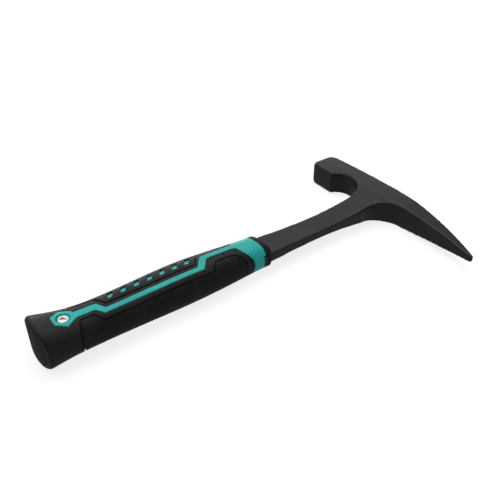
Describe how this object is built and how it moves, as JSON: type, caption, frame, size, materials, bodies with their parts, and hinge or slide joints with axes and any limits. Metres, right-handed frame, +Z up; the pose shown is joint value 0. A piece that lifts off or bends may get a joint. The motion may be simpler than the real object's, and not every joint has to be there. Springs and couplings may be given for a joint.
{
  "type": "rock hammer",
  "caption": "One-piece forged rock hammer with a square striking face, a long pointed pick and a moulded two-colour soft grip.",
  "frame": {"origin": "below the middle of the whole tool's box, on the surface it lies on", "axes": "+X along the handle from butt to head, +Y from the pick to the striking face, +Z up, out of the upper cheek"},
  "size_m": [0.3374, 0.1844, 0.0335],
  "materials": {
    "forged_steel": "satin black coating over forged steel",
    "pin_steel": "plain drawn steel",
    "damper_rubber": "matt",
    "teal_core": "moulded hard plastic, fine texture",
    "teal_trim": "moulded hard plastic, satin",
    "badge_white": "gloss",
    "black_frame": "matt soft moulding",
    "black_pad": "satin soft moulding",
    "black_cap": "matt soft moulding"
  },
  "bodies": {
    "root": {"forged_head_and_shank": "forged_steel", "tang_cross_pins": "pin_steel", "tang_end_damper": "damper_rubber", "core_shell_upper": "teal_core", "core_shell_lower": "teal_core", "front_collar_ring": "teal_trim", "front_seal_lip": "black_frame", "accent_strip_upper": "teal_trim", "accent_strip_lower": "teal_trim", "badge_medallion_upper": "badge_white", "badge_medallion_lower": "badge_white", "grip_frame": "black_frame", "finger_pad": "black_pad", "palm_pad": "black_pad", "end_cap": "black_cap"}
  },
  "joints": []
}
